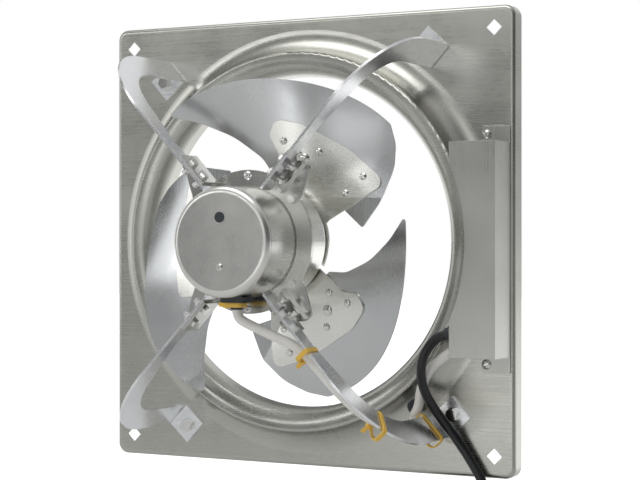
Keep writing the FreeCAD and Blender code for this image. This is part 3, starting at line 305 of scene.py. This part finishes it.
def tie_mesh(across, deep_way, centre, wide, deep, head_at):
    """A nylon tie: a closed strap with chamfered edges, its locking head and the trimmed tail."""
    axis = across.cross(deep_way)
    mesh = bmesh.new()
    half = TIE_WIDTH / 2
    section = ((0, -half), (0, half), (TIE_THICK * 0.6, half), (TIE_THICK, half * 0.75),
               (TIE_THICK, -half * 0.75), (TIE_THICK * 0.6, -half))
    rows = []
    for (x, y), out in rounded_loop(wide, deep, LOOP_FAR, LOOP_NEAR):
        spot = centre + across * x + deep_way * y
        outwards = across * out[0] + deep_way * out[1]
        rows.append([mesh.verts.new((spot + outwards * rise + axis * side) * MM) for rise, side in section])
    for row, following in zip(rows, rows[1:] + rows[:1]):
        for i in range(len(section)):
            j = (i + 1) % len(section)
            mesh.faces.new((row[i], row[j], following[j], following[i]))
    frame_of = Matrix((across, deep_way, axis)).transposed().to_4x4()
    x, y = head_at
    tail_at = (x + TAIL_FROM_HEAD[0], y + TAIL_FROM_HEAD[1])
    for size, spot, bevel in ((HEAD, (x, y, 0), HEAD_BEVEL), (TAIL, (*tail_at, 0), TAIL_BEVEL)):
        block = bmesh.new()
        bmesh.ops.create_cube(block, size=1, matrix=Matrix.Diagonal((*size, 1)))
        bmesh.ops.bevel(block, geom=block.edges[:], offset=bevel, segments=3, affect="EDGES", profile=0.6)
        place = Matrix.Translation(centre) @ frame_of @ Matrix.Translation(spot)
        bmesh.ops.transform(block, matrix=Matrix.Scale(MM, 4) @ place, verts=block.verts[:])
        data = bpy.data.meshes.new("tie_block")
        block.to_mesh(data)
        block.free()
        mesh.from_mesh(data)
        bpy.data.meshes.remove(data)
    bmesh.ops.recalc_face_normals(mesh, faces=mesh.faces[:])
    data = bpy.data.meshes.new("tie")
    mesh.to_mesh(data)
    mesh.free()
    for polygon in data.polygons:
        polygon.use_smooth = True
    data.set_sharp_from_angle(angle=math.radians(35))
    return data


def make_ties(paints):
    places = []
    for outwards, y, turn, deep in STAY_TIES:
        turn = math.radians(turn)
        deep_way = along_stay(-math.sin(turn), math.cos(turn), 0)
        run = along_stay(math.cos(turn), math.sin(turn), 0)
        centre = on_stay(outwards, y, TIE_MIDDLE) + run * (TIE_WIDTH / 2)
        head_at = (HEAD_ACROSS, deep / 2 - HEAD_BELOW_END)
        places.append((along_stay(0, 0, 1), deep_way, centre, STAY_LOOP, deep, head_at))
    places.append((Vector((1, 0, 0)), Vector((0, 1, 0)), Vector(BOOT_TIE), BOOT_LOOP, BOOT_LOOP,
                   (HEAD_ACROSS, BOOT_HEAD_DEEP)))
    for number, place in enumerate(places):
        tie = add(f"cable_tie_{number + 1}", tie_mesh(*place))
        tie.data.materials.append(paints["tie_yellow"])
        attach(tie, "frame")
        if number == 0:
            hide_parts("cable_ties")


# ---------------------------------------------------------------- materials
class Surface:
    """One procedural material: a Principled shader and the textures that feed it, in object coordinates."""

    def __init__(self, name):
        self.material = bpy.data.materials.new(name)
        self.material.use_nodes = True
        self.tree = self.material.node_tree
        self.nodes, self.links = self.tree.nodes, self.tree.links
        self.shader = self.nodes["Principled BSDF"]
        self.place = self.nodes.new("ShaderNodeTexCoord").outputs["Object"]
        self.normal = None

    def set(self, **values):
        for name, value in values.items():
            self.shader.inputs[name.replace("_", " ")].default_value = value

    def stretched(self, scale, tilt=(0, 0, 0)):
        mapping = self.nodes.new("ShaderNodeMapping")
        mapping.inputs["Scale"].default_value = scale
        mapping.inputs["Rotation"].default_value = [math.radians(a) for a in tilt]
        self.links.new(self.place, mapping.inputs["Vector"])
        return mapping.outputs[0]

    def from_axis(self):
        """The distance from the fan's axis."""
        flat = self.nodes.new("ShaderNodeVectorMath")
        flat.operation = "MULTIPLY"
        flat.inputs[1].default_value = (1, 0, 1)
        self.links.new(self.place, flat.inputs[0])
        length = self.nodes.new("ShaderNodeVectorMath")
        length.operation = "LENGTH"
        self.links.new(flat.outputs[0], length.inputs[0])
        return length.outputs["Value"]

    def noise(self, scale, detail=3, roughness=0.5, stretch=None, tilt=(0, 0, 0), radial=False):
        node = self.nodes.new("ShaderNodeTexNoise")
        node.inputs["Scale"].default_value = scale
        node.inputs["Detail"].default_value = detail
        node.inputs["Roughness"].default_value = roughness
        if radial:
            node.noise_dimensions = "1D"
            self.links.new(self.from_axis(), node.inputs["W"])
        else:
            self.links.new(self.stretched(stretch or (1, 1, 1), tilt), node.inputs["Vector"])
        return node.outputs["Fac"]

    def ranged(self, source, low, high, start=0.3, end=0.7):
        return map_range(self.tree, source, start, end, low, high)

    def math(self, operation, first, second):
        return math_node(self.tree, operation, first, second)

    def blend(self, factor, first, second):
        node = self.nodes.new("ShaderNodeMix")
        node.data_type = "RGBA"
        self.links.new(factor, node.inputs["Factor"])
        for key, value in (("A", first), ("B", second)):
            socket = next(s for s in node.inputs if s.name == key and s.type == "RGBA")
            if isinstance(value, tuple):
                socket.default_value = (*value, 1)
            else:
                self.links.new(value, socket)
        return next(s for s in node.outputs if s.type == "RGBA")

    def color(self, source):
        self.links.new(source, self.shader.inputs["Base Color"])

    def roughness(self, source):
        self.links.new(source, self.shader.inputs["Roughness"])

    def soft_edges(self, radius):
        """Edges turned over a fraction of a millimetre, so that they catch the light as folded sheet does."""
        edge = self.nodes.new("ShaderNodeBevel")
        edge.samples = 4
        edge.inputs["Radius"].default_value = radius * MM
        self.normal = edge.outputs["Normal"]

    def bump(self, source, strength, distance):
        node = self.nodes.new("ShaderNodeBump")
        node.inputs["Strength"].default_value = strength
        node.inputs["Distance"].default_value = distance * MM
        self.links.new(source, node.inputs["Height"])
        if self.normal is not None:
            self.links.new(self.normal, node.inputs["Normal"])
        self.normal = node.outputs["Normal"]
        self.links.new(self.normal, self.shader.inputs["Normal"])


def shade(color, factor):
    return tuple(min(1, c * factor) for c in color)


def steel(name, color, rough, stretch=None, radial=False, tilt=(0, 0, 0), grain=0.1):
    """Satin stainless: fine grain one way, faint cloudy patches, a few long scratches and handling marks."""
    surface = Surface(name)
    surface.set(Metallic=1.0)
    surface.soft_edges(0.5)
    if radial:
        fine = surface.noise(5000, 1, radial=True)
    else:
        fine = surface.noise(1, 2, stretch=stretch, tilt=tilt)
    cloud = surface.noise(14, 4, 0.6)
    scratch = surface.noise(1, 2, 0.7, stretch=(1500, 14, 9), tilt=(15, 10, 35))
    marks = surface.ranged(scratch, 0, 1, 0.7, 0.78)
    tone = surface.blend(surface.ranged(cloud, 0, 1), shade(color, 0.94), shade(color, 1.05))
    tone = surface.blend(surface.ranged(fine, 0, grain), tone, shade(color, 0.7))
    tone = surface.blend(surface.math("MULTIPLY", marks, 0.1), tone, shade(color, 1.2))
    surface.color(tone)
    level = surface.ranged(cloud, rough - 0.04, rough + 0.05)
    surface.roughness(surface.math("ADD", level, surface.ranged(fine, -0.03, 0.05)))
    surface.bump(fine, 0.03, 0.003)
    surface.bump(surface.noise(12, 0), 0.012, 0.2)
    return surface.material


def plain(name, color, rough, variation=0.08, scale=60, bump=0.1, depth=0.1, **values):
    """Rubber, plastic and cord sheath: a mottled colour with a fine moulded texture."""
    surface = Surface(name)
    surface.set(**values)
    cloud = surface.noise(scale, 4, 0.6)
    dark, light = shade(color, 1 - variation), shade(color, 1 + variation)
    surface.color(surface.blend(surface.ranged(cloud, 0, 1), dark, light))
    surface.roughness(surface.ranged(cloud, rough - 0.06, rough + 0.08))
    surface.bump(surface.noise(900, 3, 0.6), bump, depth)
    return surface.material


def sleeve_weave():
    surface = Surface("sleeve_white")
    warp = surface.noise(1, 1, stretch=(1500, 300, 300), tilt=(0, 45, 0))
    weft = surface.noise(1, 1, stretch=(300, 300, 1500), tilt=(0, 45, 0))
    weave = surface.math("MAXIMUM", warp, weft)
    cloud = surface.noise(40, 3)
    tone = surface.blend(surface.ranged(cloud, 0, 1), (0.84, 0.83, 0.79), (0.92, 0.91, 0.88))
    surface.color(surface.blend(surface.ranged(weave, 0, 0.25), tone, (0.7, 0.68, 0.62)))
    surface.roughness(surface.ranged(weave, 0.5, 0.7))
    surface.bump(weave, 0.3, 0.25)
    return surface.material


def laminations():
    surface = Surface("core_iron")
    surface.set(Metallic=0.8)
    sheets = surface.noise(1, 2, stretch=(4, 2000, 4))
    surface.color(surface.blend(surface.ranged(sheets, 0, 1), (0.16, 0.16, 0.17), (0.34, 0.34, 0.35)))
    surface.roughness(surface.ranged(sheets, 0.4, 0.6))
    surface.bump(sheets, 0.4, 0.2)
    return surface.material


def copper():
    surface = Surface("winding")
    surface.set(Metallic=0.85)
    strands = surface.noise(2400, 1, radial=True)
    surface.color(surface.blend(surface.ranged(strands, 0, 1), (0.3, 0.12, 0.04), (0.6, 0.3, 0.12)))
    surface.roughness(surface.ranged(strands, 0.25, 0.4))
    surface.bump(strands, 0.5, 0.3)
    return surface.material


def make_paints():
    sheet_x, sheet_z = (12, 2400, 2600), (2600, 2400, 12)
    return {
        "plate_steel": steel("plate_steel", (0.54, 0.54, 0.5), 0.27, sheet_x, grain=0.03),
        # stay_steel: base colour raised near white and tinted blue, brighter than the other steel: painted
        # reflection of bright bluish light off the stays
        "stay_steel": steel("stay_steel", (0.92, 0.935, 0.95), 0.25, sheet_x, tilt=(0, 45, 0), grain=0.04),
        "bracket_steel": steel("bracket_steel", (0.7, 0.7, 0.67), 0.2, sheet_x, grain=0.04),
        "box_steel": steel("box_steel", (0.56, 0.56, 0.53), 0.3, sheet_z, grain=0.06),
        "cup_steel": steel("cup_steel", (0.8, 0.8, 0.77), 0.27, radial=True, grain=0.015),
        "blade_steel": steel("blade_steel", (0.62, 0.635, 0.64), 0.22, sheet_z, grain=0.03),
        "spider_steel": steel("spider_steel", (0.84, 0.84, 0.8), 0.24, sheet_x, grain=0.05),
        "fastener_steel": steel("fastener_steel", (0.8, 0.8, 0.78), 0.12, (700, 60, 60), grain=0.05),
        "bearing_steel": steel("bearing_steel", (0.7, 0.7, 0.7), 0.16, radial=True, grain=0.05),
        "hub_alloy": steel("hub_alloy", (0.66, 0.66, 0.66), 0.3, radial=True),
        "core_iron": laminations(),
        "winding": copper(),
        "black_rubber": plain("black_rubber", (0.036, 0.042, 0.048), 0.5),
        "cord_black": plain("cord_black", (0.01, 0.011, 0.013), 0.32, bump=0.05),
        "sleeve_white": sleeve_weave(),
        "tie_yellow": plain("tie_yellow", (0.87, 0.55, 0.09), 0.34, scale=120),
        "plug_brass": plain("plug_brass", (0.75, 0.6, 0.32), 0.25, Metallic=1.0),
        "capacitor_plastic": plain("capacitor_plastic", (0.8, 0.79, 0.75), 0.45),
    }


def paint_nodes(paints):
    slots = {row["node"]: row["material_slot"] for row in frame["record"]["subparts"]}
    for name, node in frame["nodes"].items():
        node.data.materials.clear()
        node.data.materials.append(paints[slots[name]])


make_camera()
make_world()
make_lights()
make_floor()
paints = make_paints()
paint_nodes(paints)
make_cord(paints)
make_sleeve(paints)
make_ties(paints)
